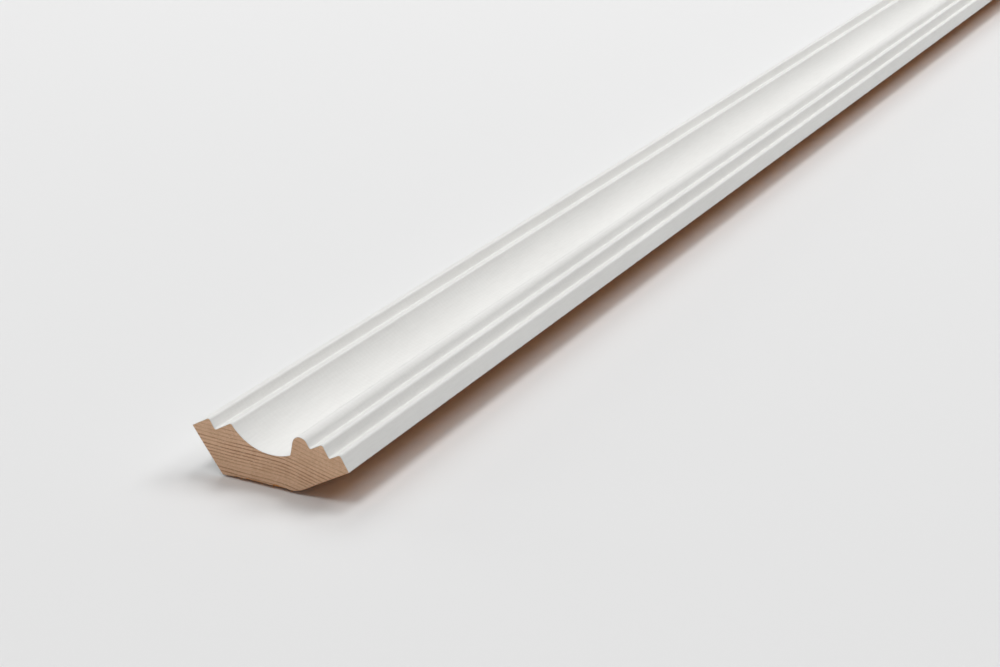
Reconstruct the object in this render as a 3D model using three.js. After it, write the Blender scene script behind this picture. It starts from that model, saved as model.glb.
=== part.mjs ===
// A length of crown moulding: one solid strip of wood, planed to shape and cut square at both ends.
// It lies on its flat back. X runs across the strip, Y along it and Z up from the back.
// Millimetres. The origin is the middle of the bounding box, on the plane of the back.

import * as THREE from 'three';

// The moulding as it is fitted, in the corner between a wall and a ceiling
const length = 1000; // from one sawn end to the other
const drop = 48.1; // how far it comes down the wall
const projection = 32.0; // how far it comes out along the ceiling
const wallLand = 22.5; // width of the flat that bears on the wall
const springAngle = 30; // degrees between the wall and the back
const ceilingRelief = 5.2; // degrees by which the ceiling's flat falls away behind its front edge

// The steps under the ceiling
const ceilingFasciaHeight = 7.75;
const ceilingStepDepth = 4.2;
const coveFasciaHeight = 7.25;

// The cove
const coveLipDepth = 1.0; // straight part before the hollow begins
const coveLean = 8; // degrees by which the hollow starts off the straight part
const coveFloor = 11.7; // distance of the hollow's lower end from the wall

// The bead below the cove
const beadRadius = 2.9;
const beadRise = 5.0; // height of the bead above the step beside it
const beadFootWidth = 8.25; // from the cove's end to the far side of the bead

// The two steps at the wall
const middleStepHeight = 5.1;
const middleStepDepth = 4.9;
const footHeight = 4.45;
const footDepth = 6.25; // distance of the last face from the wall

// The softened edges of the steps
const arrisRadius = 0.9;

// How finely the curves are divided
const coveSegments = 28;
const beadSegments = 18;
const arrisSegments = 6;

// A point of the section in the corner's own frame: x down the wall and y out from it
const at = (down, out) => new THREE.Vector2(down, out);

// Points on an arc about a centre, from one angle to another, both in radians
function arc(centre, radius, from, to, segments) {
  return Array.from({ length: segments + 1 }, (_, i) => {
    const angle = from + ((to - from) * i) / segments;
    return at(centre.x + radius * Math.cos(angle), centre.y + radius * Math.sin(angle));
  });
}

// The angle at which one point is seen from another
const bearing = (from, to) => Math.atan2(to.y - from.y, to.x - from.x);

// An outer corner of 90 degrees, rounded between the directions of its two faces.
// The first face runs down the wall and the second one in towards it.
function arris(down, out) {
  const centre = at(down - arrisRadius, out - arrisRadius);
  return arc(centre, arrisRadius, Math.PI / 2, 0, arrisSegments);
}

// The hollow: an arc that leaves its start with a given lean and passes through its end
function cove(start, end) {
  const lean = THREE.MathUtils.degToRad(coveLean);
  const inward = at(Math.cos(lean), Math.sin(lean));
  const chord = end.clone().sub(start);
  const radius = chord.lengthSq() / (2 * inward.dot(chord));
  const centre = start.clone().addScaledVector(inward, radius);
  const from = bearing(centre, start);
  const to = bearing(centre, end);
  return arc(centre, radius, THREE.MathUtils.euclideanModulo(from, 2 * Math.PI),
    THREE.MathUtils.euclideanModulo(to, 2 * Math.PI), coveSegments);
}

// The bead: a straight flank up from its foot, touching the round, which ends upright on the step
function bead(foot, stepStart) {
  const centre = at(stepStart.x - beadRadius, stepStart.y + beadRise - beadRadius);
  const reach = foot.distanceTo(centre);
  const touch = bearing(centre, foot) - Math.acos(beadRadius / reach);
  return [foot, ...arc(centre, beadRadius, THREE.MathUtils.euclideanModulo(touch, 2 * Math.PI), 0, beadSegments)];
}

// The whole section in the corner's frame, from the ceiling round the face to the wall and the back
function section() {
  const coveFasciaOut = projection - ceilingStepDepth;
  const coveEdge = ceilingFasciaHeight + coveFasciaHeight;
  const footStart = drop - footHeight;
  const beadEnd = footStart - middleStepHeight;
  const middleStepOut = footDepth + middleStepDepth;
  const backStart = drop - wallLand;
  const backSlope = Math.tan(THREE.MathUtils.degToRad(springAngle));
  const reliefSlope = Math.tan(THREE.MathUtils.degToRad(ceilingRelief));

  const coveStart = at(coveEdge, coveFasciaOut - coveLipDepth);
  const beadFoot = at(beadEnd - beadFootWidth, coveFloor);
  const beadStep = at(beadEnd, middleStepOut);

  // The relieved flat and the back meet where both lines give the same point
  const backEnd = (reliefSlope * (projection - backStart * backSlope)) / (1 - backSlope * reliefSlope);

  return [
    at(0, projection),
    ...arris(ceilingFasciaHeight, projection),
    at(ceilingFasciaHeight, coveFasciaOut),
    ...arris(coveEdge, coveFasciaOut),
    ...cove(coveStart, beadFoot).slice(0, -1),
    ...bead(beadFoot, beadStep),
    beadStep,
    ...arris(footStart, middleStepOut),
    at(footStart, footDepth),
    ...arris(drop, footDepth),
    at(drop, 0),
    at(backStart, 0),
    at(backEnd, (backStart - backEnd) * backSlope),
  ];
}

// The section turned so that its back lies level, with the back at height zero
function layOnBack(points) {
  const turn = THREE.MathUtils.degToRad(springAngle);
  const turned = points.map((point) => point.clone().rotateAround(at(0, 0), turn));
  const box = new THREE.Box2().setFromPoints(turned);
  const shift = at(-(box.min.x + box.max.x) / 2, -box.min.y);
  return turned.map((point) => point.add(shift));
}

// The strip: the section drawn out along Y, half of it on each side of the origin
function strip() {
  const outline = new THREE.Shape(layOnBack(section()));
  const geometry = new THREE.ExtrudeGeometry(outline, { depth: length, steps: 1, bevelEnabled: false });
  geometry.rotateX(Math.PI / 2);
  geometry.translate(0, length / 2, 0);
  return geometry;
}

const primedWood = new THREE.MeshStandardMaterial({ color: 0xe4e3df, roughness: 0.6, metalness: 0 });

const moulding = new THREE.Mesh(strip(), primedWood);
moulding.name = 'crown_moulding';

const part = new THREE.Group();
part.add(moulding);

export default part;
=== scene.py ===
"""A primed crown moulding length lying on its back on a pale floor, seen from its sawn end.

Metres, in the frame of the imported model: X across the strip, Y along it, Z up from the back.
"""

import math
import random

import bmesh
import bpy
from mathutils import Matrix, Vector, geometry, noise


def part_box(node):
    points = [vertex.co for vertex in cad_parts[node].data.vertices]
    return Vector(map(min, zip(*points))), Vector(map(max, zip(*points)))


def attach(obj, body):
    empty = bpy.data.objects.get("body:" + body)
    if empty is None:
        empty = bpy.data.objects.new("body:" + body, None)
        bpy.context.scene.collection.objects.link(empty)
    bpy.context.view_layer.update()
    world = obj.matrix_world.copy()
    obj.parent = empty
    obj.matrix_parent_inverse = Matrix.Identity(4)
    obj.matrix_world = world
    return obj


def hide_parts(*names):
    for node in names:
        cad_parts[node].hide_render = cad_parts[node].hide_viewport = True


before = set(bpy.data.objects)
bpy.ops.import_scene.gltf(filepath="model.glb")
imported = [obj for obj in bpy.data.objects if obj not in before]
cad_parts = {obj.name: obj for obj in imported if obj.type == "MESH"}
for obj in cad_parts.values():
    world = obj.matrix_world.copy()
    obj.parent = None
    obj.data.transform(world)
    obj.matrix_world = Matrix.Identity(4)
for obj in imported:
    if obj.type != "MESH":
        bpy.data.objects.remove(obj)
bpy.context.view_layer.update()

MM = 0.001
TOUCH = 0.001 * MM
NODE = "crown_moulding"
low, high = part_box(NODE)
NEAR, FAR = low.y, high.y

# Camera, from the photograph's vanishing point and the sawn end's corners
CAMERA_AT = (0.3078, NEAR - 0.4318, 0.26385)
CAMERA_TURN_DEG = 27.82
CAMERA_DOWN_DEG = 22.0
CAMERA_LENS_MM = 68.3
CAMERA_CLIP = 0.01
SENSOR_MM = 36.0

# The section's corners: small radii that paint and handling leave
PAINT_FILL_R = 0.6 * MM
WORN_CORNER_R = 12.0 * MM
BARE_CORNER_R = 0.9 * MM
CRISP_R = 0.25 * MM
SHARP_TURN_DEG = 20.0
LONGEST_EASE = 0.4
CORNER_STEPS = 4
SUPPORT_GAP = 0.12 * MM
FLAT_STEP = 0.8 * MM

# Along the strip
END_STATIONS_MM = (0.0, 0.10, 0.25, 0.45, 0.65, 0.9, 1.8, 3.5)
STATION_STEP = 7.0 * MM
END_EASE = 0.07 * MM
RIPPLE = 0.05 * MM
BARE_RIPPLE_SHARE = 0.3
RIPPLE_ALONG = 90.0 * MM
RIPPLE_ACROSS = 9.0 * MM
CREASE_DEG = 40.0

# Dried timber: bowed off the floor at its ends, and its back twisted
SET_REACH = 500.0 * MM
SET_RISE = 0.45 * MM
SET_TWIST = 0.008

# The lower arris of a sawn end, broken out by the saw
CHIP_RISE = 0.75 * MM
CHIP_REACH = 0.9 * MM
CHIP_GRAIN = 0.9 * MM
CHIP_LEVEL, CHIP_ROUGHNESS = 0.8, 0.6
CHIP_FADE_LEFT, CHIP_FADE_RIGHT = 4.0, 6.0
FAR_END_SEED = 40.0
NOTCH_AT = 2.6 * MM
NOTCH_WIDTH = 1.6 * MM
NOTCH_SHARE = 0.35
SPLINTERS = 7
SPLINTERS_FROM, SPLINTERS_SPAN = 0.18, 0.78
SPLINTER_LENGTH = (0.8 * MM, 2.0 * MM)
SPLINTER_WIDTH = 0.18 * MM
SPLINTER_FLATNESS = 0.4
SPLINTER_WAIST = 0.6
SPLINTER_LEAN = 0.9

# Sawn ends
END_GRID = 0.55 * MM
GRID_JITTER = 0.2
GRID_CLEARANCE = 0.35 * END_GRID
PAINT_FILM = 0.10 * MM
FILM_UNEVENNESS, FILM_GRAIN = 0.5, 0.4
BARE_RIM = 0.06 * MM
RING_RELIEF = 0.03 * MM
SAW_PITCH = 1.9 * MM
SAW_RELIEF = 0.02 * MM
SAW_SLANT = Vector((0.9, 0.3))
FIBRE_RELIEF = 0.02 * MM
FIBRE_GRAIN = 0.9 * MM

# Growth rings: nearly level on the left and falling to the right.
# Each has its height at the left, in mm, and how dark its late wood is, from 0 to 1.
BEND_START_MM = 6.0
BEND_WIDTH_MM = 4.0
BEND_SLOPE = 0.25
RINGS = ((0.5, 0.6), (1.7, 0.85), (2.95, 0.75), (4.2, 0.3), (5.5, 0.55), (6.6, 0.6),
         (7.75, 0.8), (8.9, 0.8), (10.05, 1.0), (11.45, 0.85), (12.6, 0.9), (14.0, 0.5),
         (15.2, 0.4), (16.6, 0.45), (18.1, 0.3), (19.6, 0.35), (21.0, 0.25))
RING_SHIFT_MM = -1.3
RING_RISE_MM = 0.58
RING_FALL_MM = 0.26

# The strip's materials, in the order of its slots
PRIMED, BARE, SAWN = 0, 1, 2

# Colours, in linear light
PRIMER_DARK, PRIMER_LIGHT = (0.790, 0.784, 0.764), (0.836, 0.831, 0.811)
BARE_EARLY_DARK, BARE_EARLY_LIGHT = (0.64, 0.265, 0.060), (0.76, 0.345, 0.092)
BARE_LATE, BARE_PORE = (0.44, 0.16, 0.040), (0.34, 0.13, 0.04)
SAWN_EARLY_DARK, SAWN_EARLY_LIGHT = (0.645, 0.402, 0.250), (0.795, 0.522, 0.343)
SAWN_LATE, SAWN_FUZZ = (0.235, 0.068, 0.016), (0.86, 0.66, 0.48)
FLOOR_GREY, WORLD_WHITE = (0.80, 0.80, 0.80, 1.0), (1.0, 1.0, 1.0, 1.0)

OVERSPRAY_MM = 1.3
OVERSPRAY_EDGE_MM = 0.15
KNIFE_PITCH_MM = 2.1

# Floor and soft round lights aimed at the strip's middle: place and breadth in m, power in W
FLOOR_BREADTH = 24.0
WORLD_STRENGTH = 0.130
LIGHTS = (
    ("main", (0.0, 1.2, 4.0), 1.6, 47.5),
    ("front", (-0.3, -1.6, 3.9), 1.6, 42.0),
    ("back_right", (1.6, 2.4, 3.2), 2.0, 54.0),
    ("back_left", (-2.2, 2.2, 2.8), 2.0, 37.5),
    ("back", (0.0, 4.2, 2.0), 2.4, 7.0),
    ("left", (-2.6, 0.2, 3.0), 2.4, 9.0),
    ("left_low", (-3.6, 0.0, 1.0), 1.6, 15.0),
    ("front_low", (0.4, -4.0, 0.7), 1.4, 6.0),
    ("front_left_low", (-2.8, -2.8, 0.8), 1.4, 9.0),
)

random.seed(7)


# The section, read from the solid's near face

def end_loop(obj, y):
    """The corners of the solid's face at y, in order round its outline, as (x, z)."""
    bm = bmesh.new()
    bm.from_mesh(obj.data)
    bmesh.ops.remove_doubles(bm, verts=bm.verts, dist=TOUCH)
    cap = {f for f in bm.faces if all(abs(v.co.y - y) < TOUCH for v in f.verts)}
    rim = [e for e in bm.edges if sum(f in cap for f in e.link_faces) == 1]
    links = {}
    for edge in rim:
        a, b = edge.verts
        links.setdefault(a, []).append(b)
        links.setdefault(b, []).append(a)
    start = min(links, key=lambda v: v.co.x)
    loop, before, here = [start], None, start
    while True:
        ahead = next(v for v in links[here] if v is not before)
        if ahead is start:
            break
        loop.append(ahead)
        before, here = here, ahead
    points = [Vector((v.co.x, v.co.z)) for v in loop]
    bm.free()
    area = sum(a.x * b.y - b.x * a.y for a, b in zip(points, points[1:] + points[:1]))
    if area > 0:
        points = [points[0]] + points[:0:-1]
    return points


def turn_at(points, i):
    """How far the outline turns at a corner, in radians: above zero at an inner corner."""
    a, b, c = points[i - 1], points[i], points[(i + 1) % len(points)]
    u, v = (b - a).normalized(), (c - b).normalized()
    return math.atan2(u.x * v.y - u.y * v.x, u.dot(v))


def eased_corner(a, b, c, radius):
    """Points on a small arc that replaces the corner b."""
    u, v = (a - b), (c - b)
    half = u.angle(v) / 2
    reach = min(radius / math.tan(half), LONGEST_EASE * u.length, LONGEST_EASE * v.length)
    p, q = b + u.normalized() * reach, b + v.normalized() * reach
    centre = b + (u.normalized() + v.normalized()).normalized() * (reach / math.cos(half))
    r0, r1 = p - centre, q - centre
    sweep = r0.angle_signed(r1)
    turned = []
    for k in range(CORNER_STEPS + 1):
        angle = -sweep * k / CORNER_STEPS
        turned.append(centre + Vector((r0.x * math.cos(angle) - r0.y * math.sin(angle),
                                       r0.x * math.sin(angle) + r0.y * math.cos(angle))))
    return turned


def fine_section(corners, worn):
    """The outline with eased corners, one of them well worn, and points along its flats."""
    count = len(corners)
    tips = (min(corners, key=lambda p: p.x), max(corners, key=lambda p: p.x))
    eased = []
    for i, corner in enumerate(corners):
        turn = turn_at(corners, i)
        if abs(turn) < math.radians(SHARP_TURN_DEG):
            eased.append(corner)
            continue
        if turn > 0:
            radius = PAINT_FILL_R
        elif corner in tips:
            radius = CRISP_R
        elif corner == worn:
            radius = WORN_CORNER_R
        else:
            radius = BARE_CORNER_R
        eased += eased_corner(corners[i - 1], corner, corners[(i + 1) % count], radius)
    outline = []
    for a, b in zip(eased, eased[1:] + eased[:1]):
        outline.append(a)
        span = (b - a).length
        if span > 4 * SUPPORT_GAP:
            along = (b - a).normalized()
            inner = span - 2 * SUPPORT_GAP
            steps = max(1, round(inner / FLAT_STEP))
            outline += [a + along * (SUPPORT_GAP + inner * k / steps) for k in range(steps + 1)]
    return outline


corners = end_loop(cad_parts[NODE], NEAR)
back = [p for p in corners if p.y < 10 * TOUCH]
back_left, back_right = min(back, key=lambda p: p.x), max(back, key=lambda p: p.x)
wall_tip = max(corners, key=lambda p: p.x)
section = fine_section(corners, back_right)
around = len(section)
paint_start = min(range(around), key=lambda i: (section[i] - back_left).length)
paint_end = max(range(around), key=lambda i: section[i].x)


def outward(i):
    """The outline's outward direction at a point."""
    along = section[(i + 1) % around] - section[i - 1]
    return Vector((-along.y, along.x)).normalized()


normals = [outward(i) for i in range(around)]


def is_painted(i):
    """Whether the stretch from point i to the next is primed: the moulded face and ceiling land."""
    return (i - paint_start) % around < (paint_end - paint_start) % around


# The strip's surface

def stations():
    """Places along the strip, close together at the sawn ends."""
    near = [NEAR + s * MM for s in END_STATIONS_MM]
    far = [FAR - s * MM for s in reversed(END_STATIONS_MM)]
    gap = far[0] - near[-1]
    steps = round(gap / STATION_STEP)
    return near + [near[-1] + gap * k / steps for k in range(1, steps)] + far


def ripple(point, y):
    """A slight unevenness of the planed and painted surface."""
    place = Vector((point.x / RIPPLE_ACROSS, y / RIPPLE_ALONG, point.y / RIPPLE_ACROSS))
    return RIPPLE * noise.noise(place)


def rise(point, y):
    """How far the dried timber stands off the floor near its ends, one side more than the other."""
    from_end = min(y - NEAR, FAR - y)
    share = max(0.0, 1.0 - from_end / SET_REACH) ** 2
    across = point.x - back_left.x if y < 0 else back_right.x - point.x
    twist = SET_TWIST * max(0.0, across) * (1.0 - point.y / high.z)
    return share * (SET_RISE + twist)


def chip(point, y):
    """How much of the lower arris the saw broke out."""
    from_end = min(y - NEAR, FAR - y)
    share = max(0.0, 1.0 - from_end / CHIP_REACH) * max(0.0, 1.0 - point.y / (2 * CHIP_RISE))
    if share == 0.0:
        return 0.0
    across = (point.x - back_left.x) / (back_right.x - back_left.x)
    taper = max(0.0, min(1.0, CHIP_FADE_LEFT * across, CHIP_FADE_RIGHT * (1.0 - across)))
    place = Vector((point.x / CHIP_GRAIN, 0.0 if y < 0 else FAR_END_SEED, y / CHIP_GRAIN))
    rough = CHIP_LEVEL + CHIP_ROUGHNESS * noise.noise(place)
    notch = math.exp(-((point.x - NOTCH_AT) / NOTCH_WIDTH) ** 2)
    return CHIP_RISE * share * (taper * rough + NOTCH_SHARE * notch)


def settled(i, y, ease):
    """A point of the finished surface: the outline's point i at y."""
    point = section[i]
    rippled = ripple(point, y) * (1.0 if is_painted(i) else BARE_RIPPLE_SHARE)
    place = point + normals[i] * (rippled - ease)
    return place.x, y, max(place.y, 0.0) + rise(point, y) + chip(point, y)


def bend(x_mm):
    """How far the growth rings have fallen at a place across the strip, in mm."""
    ahead = x_mm - BEND_START_MM
    return BEND_SLOPE * (ahead + math.hypot(ahead, BEND_WIDTH_MM)) / 2


def late_wood(x, z):
    """How near a point of a sawn end is to a ring's hard late wood, from 0 to 1."""
    level = z / MM + bend(x / MM)
    return max(strength * max(0.0, 1.0 - abs(level - height) / RING_RISE_MM)
               for height, strength in RINGS)


def end_relief(x, z):
    """How far the sawn surface stands back at a point: raised late wood and saw marks."""
    saw = math.sin(2 * math.pi * (x * SAW_SLANT.x + z * SAW_SLANT.y) / SAW_PITCH)
    rough = noise.noise(Vector((x, z, 0.0)) / FIBRE_GRAIN)
    return -RING_RELIEF * late_wood(x, z) + SAW_RELIEF * saw + FIBRE_RELIEF * rough


def inside(spot, polygon):
    """Whether a point lies in a polygon."""
    odd = False
    for a, b in zip(polygon, polygon[1:] + polygon[:1]):
        if (a.y > spot.y) != (b.y > spot.y):
            if spot.x < (b.x - a.x) * (spot.y - a.y) / (b.y - a.y) + a.x:
                odd = not odd
    return odd


def clear_of(spot, polygon, gap):
    """Whether a point keeps a gap to a polygon's corners and sides."""
    for a, b in zip(polygon, polygon[1:] + polygon[:1]):
        if abs(a.x - spot.x) > 3 * FLAT_STEP:
            continue
        along = b - a
        share = max(0.0, min(1.0, (spot - a).dot(along) / along.length_squared))
        if (spot - a - along * share).length < gap:
            return False
    return True


def film(bm, ring, side):
    """The paint film's cut edge and the bare wood's rim at a sawn end; returns the inner ring."""
    inner = []
    for i, vert in enumerate(ring):
        painted = is_painted(i) and is_painted(i - 1)
        waver = noise.noise(Vector((i * FILM_GRAIN, 5.0 * side, 0.0)))
        step = normals[i] * (PAINT_FILM * (1.0 + FILM_UNEVENNESS * waver) if painted else BARE_RIM)
        place = Vector((vert.co.x - step.x, vert.co.z - step.y))
        inner.append(bm.verts.new((place.x, vert.co.y + side * end_relief(*place), place.y)))
    for i in range(around):
        j = (i + 1) % around
        face = bm.faces.new((ring[i], ring[j], inner[j], inner[i]))
        face.material_index = PRIMED if is_painted(i) else SAWN
    return inner


def sawn_face(bm, ring, y, side):
    """Fills a sawn end with a fine mesh between the ring's vertices."""
    flat = [Vector((v.co.x, v.co.z)) for v in ring]
    spots = []
    for column in range(int((high.x - low.x) / END_GRID) + 1):
        for row in range(int((high.z - low.z) / END_GRID) + 2):
            spot = Vector((low.x + (column + random.uniform(-GRID_JITTER, GRID_JITTER)) * END_GRID,
                           low.z + (row + random.uniform(-GRID_JITTER, GRID_JITTER)) * END_GRID))
            if inside(spot, flat) and clear_of(spot, flat, GRID_CLEARANCE):
                spots.append(spot)
    edges = [(k, (k + 1) % len(flat)) for k in range(len(flat))]
    verts, _, faces, origin, _, _ = geometry.delaunay_2d_cdt(flat + spots, edges, [], 1, 1e-9)
    made = {}
    for k, spot in enumerate(verts):
        source = origin[k][0] if origin[k] else -1
        if 0 <= source < len(flat):
            made[k] = ring[source]
        else:
            made[k] = bm.verts.new((spot.x, y + side * end_relief(spot.x, spot.y), spot.y))
    for face in faces:
        order = [made[k] for k in face]
        if len(set(order)) == 3:
            bm.faces.new(order).material_index = SAWN


def splinter(bm, root, tip, width):
    """A torn fibre: a thin closed spike from its root to its tip."""
    along = (tip - root).normalized()
    side = along.cross(Vector((0.0, 0.0, 1.0))).normalized() * width
    up = side.cross(along).normalized() * width * SPLINTER_FLATNESS
    middle = root.lerp(tip, 0.5) + up * SPLINTER_WAIST
    ends = [bm.verts.new(root + offset) for offset in (side, up, -side, -up)]
    waist = [bm.verts.new(middle + offset * SPLINTER_WAIST) for offset in (side, up, -side, -up)]
    point = bm.verts.new(tip)
    faces = [bm.faces.new(list(reversed(ends)))]
    for k in range(4):
        j = (k + 1) % 4
        faces.append(bm.faces.new((ends[k], ends[j], waist[j], waist[k])))
        faces.append(bm.faces.new((waist[k], waist[j], point)))
    for face in faces:
        face.material_index = BARE


def splinters(bm):
    """Torn fibres under the near end's lower arris."""
    for k in range(SPLINTERS):
        share = SPLINTERS_FROM + SPLINTERS_SPAN * (k + random.uniform(0.0, 1.0)) / SPLINTERS
        x = back_left.x + (back_right.x - back_left.x) * share
        foot = Vector((x, 0.0))
        z = rise(foot, NEAR) + chip(foot, NEAR) + 0.1 * MM
        root = Vector((x, NEAR + 0.5 * MM, z))
        reach = random.uniform(*SPLINTER_LENGTH)
        lean = random.uniform(-SPLINTER_LEAN, SPLINTER_LEAN) * reach
        tip = Vector((x + lean, NEAR - 0.4 * reach, max(0.1 * MM, z - 0.5 * reach)))
        splinter(bm, root, tip, SPLINTER_WIDTH * random.uniform(0.5, 1.0))


def build_strip():
    """The finished strip's mesh: its long surface, both sawn ends and the splinters."""
    bm = bmesh.new()
    rings = []
    for y in stations():
        ease = END_EASE if y in (NEAR, FAR) else 0.0
        rings.append([bm.verts.new(settled(i, y, ease)) for i in range(around)])
    for a, b in zip(rings, rings[1:]):
        for i in range(around):
            j = (i + 1) % around
            face = bm.faces.new((a[i], a[j], b[j], b[i]))
            face.material_index = PRIMED if is_painted(i) else BARE
    for ring, y, side in ((rings[0], NEAR, 1), (rings[-1], FAR, -1)):
        sawn_face(bm, film(bm, ring, side), y, side)
    bmesh.ops.recalc_face_normals(bm, faces=bm.faces)
    splinters(bm)
    for face in bm.faces:
        face.smooth = True
    for edge in bm.edges:
        if len(edge.link_faces) == 2 and edge.calc_face_angle(0.0) > math.radians(CREASE_DEG):
            edge.smooth = False
    mesh = bpy.data.meshes.new("crown_moulding_finished")
    bm.to_mesh(mesh)
    bm.free()
    return mesh


# Materials

def shader(name, roughness, specular):
    """A new material: its node tree and its principled shader."""
    material = bpy.data.materials.new(name)
    material.use_nodes = True
    body = material.node_tree.nodes["Principled BSDF"]
    body.inputs["Roughness"].default_value = roughness
    body.inputs["Specular IOR Level"].default_value = specular
    return material, material.node_tree, body


def maths(tree, operation, *values):
    """A maths node's result for values that are sockets or numbers."""
    made = tree.nodes.new("ShaderNodeMath")
    made.operation = operation
    for socket, value in zip(made.inputs, values):
        if isinstance(value, (int, float)):
            socket.default_value = value
        else:
            tree.links.new(value, socket)
    return made.outputs["Value"]


def mix(tree, fac, a, b):
    """A blend of two colours."""
    made = tree.nodes.new("ShaderNodeMix")
    made.data_type = "RGBA"
    for socket, value in ((made.inputs[0], fac), (made.inputs[6], a), (made.inputs[7], b)):
        if isinstance(value, (int, float)):
            socket.default_value = value
        elif isinstance(value, tuple):
            socket.default_value = (*value, 1.0)
        else:
            tree.links.new(value, socket)
    return made.outputs[2]


def spread(tree, value, start, end, before=0.0, after=1.0):
    """A smooth step from before to after between start and end."""
    made = tree.nodes.new("ShaderNodeMapRange")
    made.interpolation_type = "SMOOTHSTEP"
    parts = {"From Min": start, "From Max": end, "To Min": before, "To Max": after}
    for key, part in parts.items():
        if isinstance(part, (int, float)):
            made.inputs[key].default_value = part
        else:
            tree.links.new(part, made.inputs[key])
    tree.links.new(value, made.inputs["Value"])
    return made.outputs["Result"]


def place_parts(tree):
    """The object's own x, y and z, in mm."""
    coords = tree.nodes.new("ShaderNodeTexCoord")
    scaled = tree.nodes.new("ShaderNodeVectorMath")
    scaled.operation = "SCALE"
    scaled.inputs["Scale"].default_value = 1.0 / MM
    parts = tree.nodes.new("ShaderNodeSeparateXYZ")
    tree.links.new(coords.outputs["Object"], scaled.inputs[0])
    tree.links.new(scaled.outputs["Vector"], parts.inputs[0])
    return parts.outputs


def noise_at(tree, grain, detail=2.0, rough=0.5):
    """Noise whose grains measure about the given mm along x, y and z."""
    coords = tree.nodes.new("ShaderNodeTexCoord")
    mapping = tree.nodes.new("ShaderNodeMapping")
    mapping.inputs["Scale"].default_value = [1.0 / (MM * span) for span in grain]
    made = tree.nodes.new("ShaderNodeTexNoise")
    made.inputs["Scale"].default_value = 1.0
    made.inputs["Detail"].default_value = detail
    made.inputs["Roughness"].default_value = rough
    tree.links.new(coords.outputs["Object"], mapping.inputs["Vector"])
    tree.links.new(mapping.outputs["Vector"], made.inputs["Vector"])
    return made.outputs["Fac"]


def weigh(tree, *pairs):
    """The sum of sockets, each times its weight."""
    total = None
    for value, weight in pairs:
        part = maths(tree, "MULTIPLY", value, weight)
        total = part if total is None else maths(tree, "ADD", total, part)
    return total


def bump(tree, body, height, distance):
    """Fine relief on a shader from a height."""
    made = tree.nodes.new("ShaderNodeBump")
    made.inputs["Distance"].default_value = distance
    tree.links.new(height, made.inputs["Height"])
    tree.links.new(made.outputs["Normal"], body.inputs["Normal"])


def primer():
    """Dull white primer over planed wood: raised grain along the strip and knife marks."""
    material, tree, body = shader("white_primer", 0.62, 0.3)
    _, along, _ = place_parts(tree)
    cloud = noise_at(tree, (17.0, 70.0, 17.0))
    grain = noise_at(tree, (0.7, 7.0, 0.7), 3.0, 0.6)
    nibs = spread(tree, noise_at(tree, (0.5, 1.2, 0.5), 1.0), 0.60, 0.72)
    drift = noise_at(tree, (9.0, 30.0, 9.0))
    stroke = maths(tree, "SINE", weigh(tree, (along, 2 * math.pi / KNIFE_PITCH_MM), (drift, 3.0)))
    knife = maths(tree, "MULTIPLY", stroke, noise_at(tree, (3.0, 40.0, 3.0)))
    tone = spread(tree, weigh(tree, (cloud, 0.5), (grain, 0.5)), 0.3, 0.7)
    tree.links.new(mix(tree, tone, PRIMER_DARK, PRIMER_LIGHT), body.inputs["Base Color"])
    bump(tree, body, weigh(tree, (grain, 0.8), (knife, 0.35), (nibs, 0.5)), 0.025 * MM)
    return material


def ring_level(tree):
    """The height of a point among the growth rings, in mm."""
    across, _, up = place_parts(tree)
    ahead = maths(tree, "SUBTRACT", across, BEND_START_MM)
    squares = maths(tree, "ADD", maths(tree, "MULTIPLY", ahead, ahead), BEND_WIDTH_MM ** 2)
    fallen = maths(tree, "ADD", ahead, maths(tree, "SQRT", squares))
    wander = noise_at(tree, (60.0, 240.0, 60.0))
    waver = noise_at(tree, (9.0, 60.0, 9.0))
    return weigh(tree, (up, 1.0), (fallen, BEND_SLOPE / 2), (wander, 2.0), (waver, 0.5),
                 (1.0, RING_SHIFT_MM))


def ring_lines(tree, level):
    """Dark late wood: a line at each ring, slow to rise and sharp at its outer side."""
    total = 0.0
    for height, strength in RINGS:
        grown = spread(tree, level, height - RING_RISE_MM, height, 0.0, strength)
        line = maths(tree, "MULTIPLY", maths(tree, "MULTIPLY", grown, grown),
                     spread(tree, level, height, height + RING_FALL_MM, 1.0 / strength, 0.0))
        total = maths(tree, "MAXIMUM", total, line)
    return total


def over_arris(tree):
    """Primer that ran over the arrises onto the wall's land and the back, ragged along them."""
    across, _, up = place_parts(tree)
    edge = noise_at(tree, (900.0, 6.0, 900.0), 4.0, 0.65)
    ragged = weigh(tree, (edge, 2.0 * OVERSPRAY_MM), (0.5, -0.6 * OVERSPRAY_MM))
    down = (back_right - wall_tip).normalized()
    from_tip = weigh(tree, (across, down.x), (up, down.y), (1.0, -wall_tip.dot(down) / MM))
    from_back = maths(tree, "SUBTRACT", across, back_left.x / MM)
    nearest = maths(tree, "MINIMUM", from_tip, from_back)
    past = maths(tree, "SUBTRACT", nearest, ragged)
    return spread(tree, past, -OVERSPRAY_EDGE_MM, OVERSPRAY_EDGE_MM, 1.0, 0.0)


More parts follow.
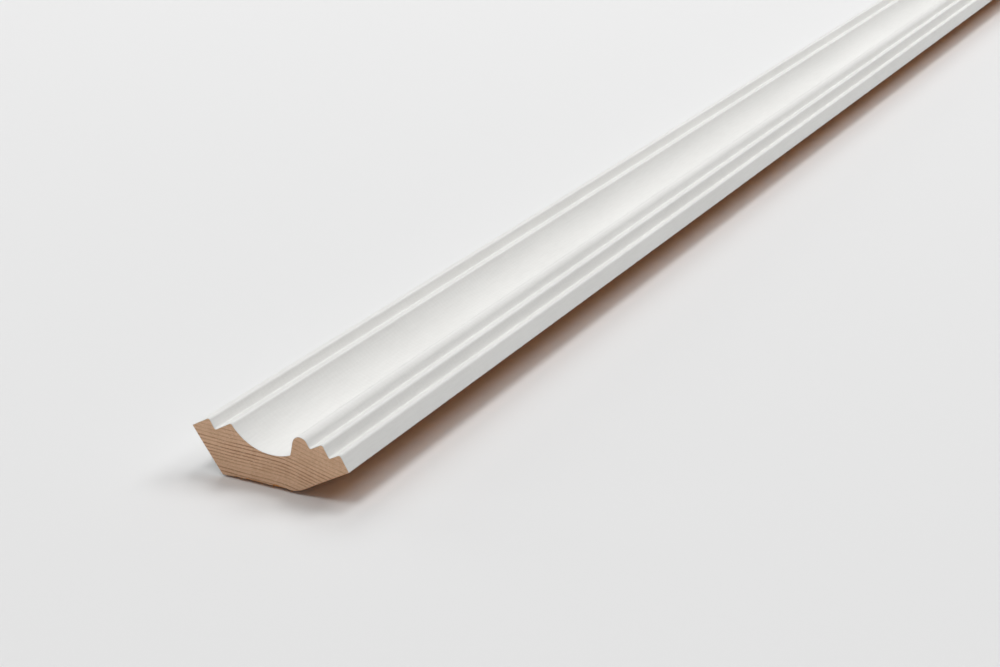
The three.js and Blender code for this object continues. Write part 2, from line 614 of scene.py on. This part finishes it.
def bare_side():
    """Planed bare pine, its rings cut along the strip, with fine pores and a little overspray."""
    material, tree, body = shader("bare_pine", 0.6, 0.3)
    late = ring_lines(tree, ring_level(tree))
    fibre = noise_at(tree, (0.5, 14.0, 0.5), 3.0, 0.6)
    cloud = noise_at(tree, (14.0, 120.0, 14.0))
    pores = spread(tree, noise_at(tree, (0.16, 3.0, 0.16), 1.0), 0.64, 0.70)
    tone = weigh(tree, (fibre, 0.6), (cloud, 0.4))
    early = mix(tree, tone, BARE_EARLY_DARK, BARE_EARLY_LIGHT)
    wood = mix(tree, maths(tree, "MULTIPLY", late, 0.8), early, BARE_LATE)
    wood = mix(tree, maths(tree, "MULTIPLY", pores, 0.5), wood, BARE_PORE)
    colour = mix(tree, over_arris(tree), wood, PRIMER_DARK)
    tree.links.new(colour, body.inputs["Base Color"])
    bump(tree, body, weigh(tree, (fibre, 0.7), (late, 0.4), (pores, -0.5)), 0.05 * MM)
    return material


def end_grain():
    """Sawn end grain: the rings' late wood in dark lines, fibre ends and saw fuzz."""
    material, tree, body = shader("sawn_end_grain", 0.75, 0.2)
    patchy = spread(tree, noise_at(tree, (7.0, 900.0, 3.0)), 0.3, 0.6, 0.55, 1.0)
    late = maths(tree, "MULTIPLY", ring_lines(tree, ring_level(tree)), patchy)
    blotch = noise_at(tree, (5.0, 900.0, 5.0))
    fibre = noise_at(tree, (0.55, 900.0, 0.3), 2.0, 0.7)
    fuzz = spread(tree, noise_at(tree, (0.45, 900.0, 0.22), 1.0), 0.56, 0.70)
    tone = spread(tree, weigh(tree, (blotch, 0.4), (fibre, 0.6)), 0.3, 0.7)
    early = mix(tree, tone, SAWN_EARLY_DARK, SAWN_EARLY_LIGHT)
    wood = mix(tree, maths(tree, "MULTIPLY", late, 0.82), early, SAWN_LATE)
    colour = mix(tree, maths(tree, "MULTIPLY", fuzz, 0.4), wood, SAWN_FUZZ)
    tree.links.new(colour, body.inputs["Base Color"])
    bump(tree, body, weigh(tree, (fibre, 1.0), (late, 0.5)), 0.06 * MM)
    return material


# The piece

strip = bpy.data.objects.new("crown_moulding_finished", build_strip())
bpy.context.scene.collection.objects.link(strip)
for material in (primer(), bare_side(), end_grain()):
    strip.data.materials.append(material)
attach(strip, "root")
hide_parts(NODE)


# Floor, light and camera

def floor():
    """A plain pale floor at the strip's back."""
    bpy.ops.mesh.primitive_plane_add(size=FLOOR_BREADTH, location=(0.0, 0.0, 0.0))
    plane = bpy.context.object
    plane.name = "floor"
    material, tree, body = shader("pale_floor", 0.85, 0.2)
    body.inputs["Base Color"].default_value = FLOOR_GREY
    plane.data.materials.append(material)


def area_light(name, place, breadth, power):
    """A round soft light aimed at the strip's middle."""
    data = bpy.data.lights.new(name, "AREA")
    data.shape = "DISK"
    data.size = breadth
    data.energy = power
    lamp = bpy.data.objects.new(name, data)
    lamp.location = place
    lamp.rotation_euler = (-Vector(place)).to_track_quat("-Z", "Y").to_euler()
    bpy.context.scene.collection.objects.link(lamp)


def lights():
    """The studio: soft lights and a faint even glow."""
    for name, place, breadth, power in LIGHTS:
        area_light(name, place, breadth, power)
    world = bpy.data.worlds.new("studio")
    world.use_nodes = True
    sky = world.node_tree.nodes["Background"]
    sky.inputs["Color"].default_value = WORLD_WHITE
    sky.inputs["Strength"].default_value = WORLD_STRENGTH
    bpy.context.scene.world = world


def camera():
    """The camera at the photograph's viewing angle."""
    data = bpy.data.cameras.new("camera")
    data.sensor_width = SENSOR_MM
    data.lens = CAMERA_LENS_MM
    data.clip_start = CAMERA_CLIP
    view = bpy.data.objects.new("camera", data)
    view.location = CAMERA_AT
    down, turn = math.radians(90.0 - CAMERA_DOWN_DEG), math.radians(CAMERA_TURN_DEG)
    view.rotation_euler = (down, 0.0, turn)
    bpy.context.scene.collection.objects.link(view)
    bpy.context.scene.camera = view


floor()
lights()
camera()
bpy.context.scene.view_settings.view_transform = "Standard"
